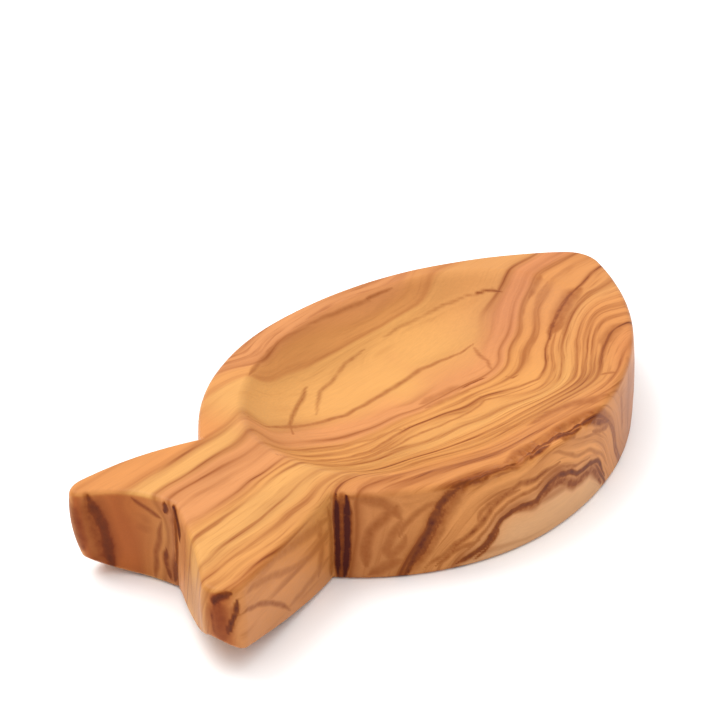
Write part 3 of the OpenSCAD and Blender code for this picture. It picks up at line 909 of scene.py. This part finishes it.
class Graph:
    """Short calls for making and linking shader nodes."""

    def __init__(self, material):
        material.use_nodes = True
        self.tree = material.node_tree
        self.tree.nodes.clear()

    def put(self, socket, value):
        if isinstance(value, bpy.types.NodeSocket):
            self.tree.links.new(value, socket)
        elif value is not None:
            socket.default_value = value

    def attribute(self, name):
        node = self.tree.nodes.new("ShaderNodeAttribute")
        node.attribute_name = name
        return node.outputs["Fac"]

    def math(self, operation, a, b=None):
        node = self.tree.nodes.new("ShaderNodeMath")
        node.operation = operation
        self.put(node.inputs[0], a)
        self.put(node.inputs[1], b)
        return node.outputs[0]

    def vector(self, operation, a, b=None, scale=None, output="Vector"):
        node = self.tree.nodes.new("ShaderNodeVectorMath")
        node.operation = operation
        self.put(node.inputs[0], a)
        self.put(node.inputs[1], b)
        if scale is not None:
            self.put(node.inputs["Scale"], scale)
        return node.outputs[output]

    def dot(self, a, b):
        return self.vector("DOT_PRODUCT", a, b, output="Value")

    def noise(self, vector, scale, detail, roughness, dimensions="3D"):
        node = self.tree.nodes.new("ShaderNodeTexNoise")
        node.noise_dimensions = dimensions
        self.put(node.inputs["Vector"], vector)
        self.put(node.inputs["Scale"], scale)
        self.put(node.inputs["Detail"], detail)
        self.put(node.inputs["Roughness"], roughness)
        return node.outputs["Fac"]

    def range(self, value, low, high, to_low=0.0, to_high=1.0, smooth=False):
        node = self.tree.nodes.new("ShaderNodeMapRange")
        node.interpolation_type = "SMOOTHSTEP" if smooth else "LINEAR"
        self.put(node.inputs["Value"], value)
        for name, amount in (("From Min", low), ("From Max", high), ("To Min", to_low), ("To Max", to_high)):
            self.put(node.inputs[name], amount)
        return node.outputs["Result"]

    def ramp(self, value, stops):
        node = self.tree.nodes.new("ShaderNodeValToRGB")
        elements = node.color_ramp.elements
        while len(elements) > 1:
            elements.remove(elements[-1])
        elements[0].position, elements[0].color = stops[0]
        for position, colour in stops[1:]:
            elements.new(position).color = colour
        self.put(node.inputs["Fac"], value)
        return node.outputs["Color"]

    def mix(self, factor, a, b, blend="MIX"):
        node = self.tree.nodes.new("ShaderNodeMix")
        node.data_type = "RGBA"
        node.blend_type = blend
        self.put(node.inputs["Factor"], factor)
        colours = [s for s in node.inputs if s.type == "RGBA"]
        self.put(colours[0], a)
        self.put(colours[1], b)
        return [s for s in node.outputs if s.type == "RGBA"][0]


def layer_share(layer):
    return (layer - LAYER_LOW) / (LAYER_HIGH - LAYER_LOW)


def tone_stops(tones):
    return [(layer_share(level), colour) for level, colour in tones]


def line_stops(lines):
    """Ramp stops, from the near side to the far side, for ring lines that lie well apart."""
    stops = []
    for layer, near_fade, far_fade, strength in sorted(lines):
        for side, fade in ((-1, near_fade), (1, far_fade)):
            reach = ((HALO_REACH, 0.0), (HALO_EDGE, HALO_SHARE * strength), (LINE_CORE, strength))
            for distance, shade in reach[::-side]:
                stops.append((layer_share(layer + side * distance * fade), (shade, shade, shade, 1)))
    return stops


class OliveWood(Graph):
    """Oiled olive wood, whose figure follows the growth layers and the marks that the mesh carries."""

    def __init__(self, material):
        super().__init__(material)
        coordinates = self.tree.nodes.new("ShaderNodeTexCoord")
        self.normal = coordinates.outputs["Normal"]
        self.place = self.vector("SCALE", coordinates.outputs["Object"], scale=1 / MM)
        self.along_grain = self.dot(self.place, GRAINWARD)
        self.stretched = self.vector("MULTIPLY", self.place, GRAIN_STRETCH)
        self.fibre = self.noise(self.vector("MULTIPLY", self.place, FIBRE_STRETCH), *FIBRES)
        self.to_body = self.range(self.along_grain, TAIL_END, BODY_START, smooth=True)
        self.upright = self.range(self.math("ABSOLUTE", self.dot(self.normal, UPWARD)), *SLOPE_TO_UPRIGHT)
        self.pitch = self.attribute("pitch")
        self.crossing = self.range(self.pitch, *PITCH_TO_CROSSING, True)
        self.layer = self.wavering_layer()
        self.share = self.range(self.layer, LAYER_LOW, LAYER_HIGH)
        self.sheet = self.unrolled_layer()
        self.end_grain = self.fibre_ends()

    def wave(self, noise, size):
        from_mean = self.math("SUBTRACT", self.noise(self.stretched, *noise), NOISE_MEAN)
        return self.math("MULTIPLY", from_mean, size)

    def wavering_layer(self):
        """Growth layer, which wavers a little over long waves along the grain."""
        long_waver = self.wave(LONG_WAVES, LONG_WAVE_SIZE)
        waver = self.math("ADD", long_waver, self.wave(SHORT_WAVES, SHORT_WAVE_SIZE))
        return self.math("ADD", self.attribute("layer"), self.math("MULTIPLY", waver, self.pitch))

    def unrolled_layer(self):
        """Flat place of a point: across the layers, and slowly along the grain."""
        sheet = self.tree.nodes.new("ShaderNodeCombineXYZ")
        self.put(sheet.inputs["X"], self.layer)
        self.put(sheet.inputs["Y"], self.math("MULTIPLY", self.along_grain, SHEET_STRETCH))
        return sheet.outputs[0]

    def fibre_ends(self):
        """How squarely the surface cuts the fibres, which tells most at the two ends of the dish."""
        direction = self.mix(self.range(self.along_grain, *TAIL_CUT), TAIL_FIBRE_END, FIBRE_END)
        facing = self.math("ABSOLUTE", self.dot(self.normal, direction))
        from_middle = self.math("ABSOLUTE", self.math("SUBTRACT", self.along_grain, MIDDLE))
        at_end = self.range(from_middle, *MIDDLE_TO_END)
        return self.math("MULTIPLY", self.range(facing, *FACING_TO_END, True), at_end)

    def from_tail_to_body(self, ramp, tail, body):
        return self.mix(self.to_body, self.ramp(self.share, ramp(tail)), self.ramp(self.share, ramp(body)))

    def strong_lines(self):
        """Ring lines, each paler and darker along its length."""
        dark = self.from_tail_to_body(line_stops, TAIL_LINES, BODY_LINES)
        for group in RING_LINES:
            dark = self.mix(1.0, dark, self.ramp(self.share, line_stops(group)), "LIGHTEN")
        change = self.range(self.noise(self.sheet, *LINE_CHANGES, "2D"), *LINE_CHANGE)
        dark = self.math("MULTIPLY", dark, change)
        return self.math("MULTIPLY", dark, self.range(self.to_body, *TAIL_TO_BODY_LINES))

    def fine_lines(self):
        """Soft bands and thin streaks between the strong lines."""
        soft = self.range(self.noise(self.sheet, *SOFT_BANDS, "2D"), *BAND_SHADE, True)
        thin = self.range(self.noise(self.sheet, *THIN_STREAKS, "2D"), *STREAK_SHADE, True)
        near = self.range(self.layer, *NEAR_LAYERS_TEXTURE)
        lively = self.math("MAXIMUM", near, self.range(self.layer, *FAR_LAYERS_TEXTURE))
        texture = self.math("MULTIPLY", self.math("ADD", soft, thin), lively)
        return self.math("MULTIPLY", texture, self.range(self.to_body, *TAIL_TO_BODY_TEXTURE))

    def flames(self):
        """Long brown flames on upright walls that run flat along the layers."""
        shape = self.noise(self.vector("MULTIPLY", self.place, FLAME_STRETCH), *FLAMES)
        where = self.math("MULTIPLY", self.upright, self.math("SUBTRACT", 1.0, self.crossing))
        return self.math("MULTIPLY", self.range(shape, *FLAME_SHADE, True), where)

    def darkness(self):
        """Lines, flames and marks; a cut along the layers or across the fibres shows little but marks."""
        dark = self.math("ADD", self.strong_lines(), self.fine_lines())
        dark = self.math("MULTIPLY", dark, self.crossing)
        dark = self.math("MAXIMUM", dark, self.flames())
        dark = self.math("MULTIPLY", dark, self.range(self.end_grain, *END_LINES))
        mottle = self.range(self.noise(self.place, *MOTTLES), *MOTTLE_SHADE)
        return self.math("MAXIMUM", dark, self.math("MULTIPLY", self.attribute("mark"), mottle))

    def tone(self):
        """Colour of the wood between its lines, with painted shade on the snout's outer wall."""
        tone = self.from_tail_to_body(tone_stops, TAIL_TONES, BODY_TONES)
        tone = self.mix(self.range(self.end_grain, *END_TONE), tone, AMBER)
        tone = self.mix(self.range(self.along_grain, *SNOUT_TOP, smooth=True), tone, SNOUT_TINT, "MULTIPLY")
        # Painted shade: the snout's upright outer wall below the rim is made darker and bluer
        below_rim = self.range(self.dot(self.place, UPWARD), *SNOUT_SHADE_HEIGHT)
        snout_wall_shade = self.math("MULTIPLY", self.upright, self.range(self.along_grain, *SNOUT_SHADE_SPAN))
        snout_wall_shade = self.math("MULTIPLY", snout_wall_shade, below_rim)
        tone = self.mix(snout_wall_shade, tone, SNOUT_WALL_PAINTED_SHADE, "MULTIPLY")
        tone = self.mix(1.0, tone, self.range(self.noise(self.stretched, *CLOUDS), *CLOUD_SHADE), "MULTIPLY")
        return self.mix(1.0, tone, self.range(self.fibre, *FIBRE_SHADE), "MULTIPLY")

    def colour(self):
        """Tone and lines together; the end grain takes up more oil."""
        dark = self.darkness()
        brown = self.mix(self.range(dark, *SHADE_TO_BROWN), self.tone(), UMBER)
        colour = self.mix(self.range(dark, *SHADE_TO_DARK), brown, DARK)
        oiled = self.math("MULTIPLY", self.end_grain, self.range(dark, *SHADE_TO_OIL))
        return self.mix(oiled, colour, END_GRAIN, "MULTIPLY")


def olive_wood():
    material = bpy.data.materials.new("olive_wood_oiled")
    wood = OliveWood(material)
    nodes = wood.tree.nodes
    shader = nodes.new("ShaderNodeBsdfPrincipled")
    wood.put(shader.inputs["Base Color"], wood.colour())
    wood.put(shader.inputs["Roughness"], wood.range(wood.fibre, *FIBRE_ROUGHNESS))
    wood.put(shader.inputs["Specular IOR Level"], SPECULAR)
    bump = nodes.new("ShaderNodeBump")
    wood.put(bump.inputs["Strength"], FIBRE_RELIEF)
    wood.put(bump.inputs["Distance"], FIBRE_HEIGHT)
    wood.put(bump.inputs["Height"], wood.fibre)
    wood.put(shader.inputs["Normal"], bump.outputs["Normal"])
    output = nodes.new("ShaderNodeOutputMaterial")
    wood.put(output.inputs["Surface"], shader.outputs[0])
    return material


def add_dish():
    mesh = build_dish()
    places = hand_finish(mesh)
    directions = vertex_normals(mesh)
    tree = BVHTree.FromPolygons([Vector(p) for p in places], [p.vertices[:] for p in mesh.polygons])
    roughen(mesh, places, tree)
    layers, pitches = growth_layers(tree, places, directions)
    for name, values in (("layer", layers), ("pitch", pitches), ("mark", mark_strength(tree, places))):
        mesh.attributes.new(name, "FLOAT", "POINT").data.foreach_set("value", values)
    mesh.polygons.foreach_set("use_smooth", [True] * len(mesh.polygons))
    mesh.materials.append(olive_wood())
    dish = bpy.data.objects.new("carved_dish", mesh)
    bpy.context.scene.collection.objects.link(dish)
    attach(dish, "root")
    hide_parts("fish_dish")


# Floor, in metres
FLOOR_HALF = 6.0
FLOOR_COLOUR = (0.93, 0.93, 0.93, 1)
FLOOR_ROUGHNESS = 0.6


def add_floor():
    mesh = bpy.data.meshes.new("floor")
    corners = [(x * FLOOR_HALF, y * FLOOR_HALF, 0) for x, y in ((-1, -1), (1, -1), (1, 1), (-1, 1))]
    mesh.from_pydata(corners, [], [(0, 1, 2, 3)])
    material = bpy.data.materials.new("floor_white")
    material.use_nodes = True
    shader = material.node_tree.nodes["Principled BSDF"]
    shader.inputs["Base Color"].default_value = FLOOR_COLOUR
    shader.inputs["Roughness"].default_value = FLOOR_ROUGHNESS
    mesh.materials.append(material)
    floor = bpy.data.objects.new("floor", mesh)
    bpy.context.scene.collection.objects.link(floor)


# Strength of the studio's light from its walls and from overhead, and the height where the roof starts
WALL_LIGHT = 0.75
ROOF_LIGHT = 1.85
ROOF_START = 0.3
# Round key light, in metres and watts
KEY_PLACE = (-0.15, 0.6, 1.0)
KEY_SIZE = 0.9
KEY_POWER = 7.0


def add_key():
    data = bpy.data.lights.new("key", "AREA")
    data.shape = "DISK"
    data.size = KEY_SIZE
    data.energy = KEY_POWER
    light = bpy.data.objects.new("key", data)
    light.location = KEY_PLACE
    light.rotation_euler = (-Vector(KEY_PLACE)).to_track_quat("-Z", "Y").to_euler()
    bpy.context.scene.collection.objects.link(light)


def add_studio():
    world = bpy.data.worlds.new("studio")
    world.use_nodes = True
    graph = world.node_tree
    background = graph.nodes["Background"]
    background.inputs["Color"].default_value = (1, 1, 1, 1)
    direction = graph.nodes.new("ShaderNodeTexCoord")
    split = graph.nodes.new("ShaderNodeSeparateXYZ")
    overhead = graph.nodes.new("ShaderNodeMapRange")
    overhead.interpolation_type = "SMOOTHSTEP"
    overhead.inputs["From Min"].default_value = ROOF_START
    overhead.inputs["From Max"].default_value = 1.0
    overhead.inputs["To Min"].default_value = WALL_LIGHT
    overhead.inputs["To Max"].default_value = ROOF_LIGHT
    graph.links.new(direction.outputs["Generated"], split.inputs[0])
    graph.links.new(split.outputs["Z"], overhead.inputs["Value"])
    graph.links.new(overhead.outputs["Result"], background.inputs["Strength"])
    bpy.context.scene.world = world
    bpy.context.scene.view_settings.view_transform = "Standard"


add_camera()
add_dish()
add_floor()
add_studio()
add_key()
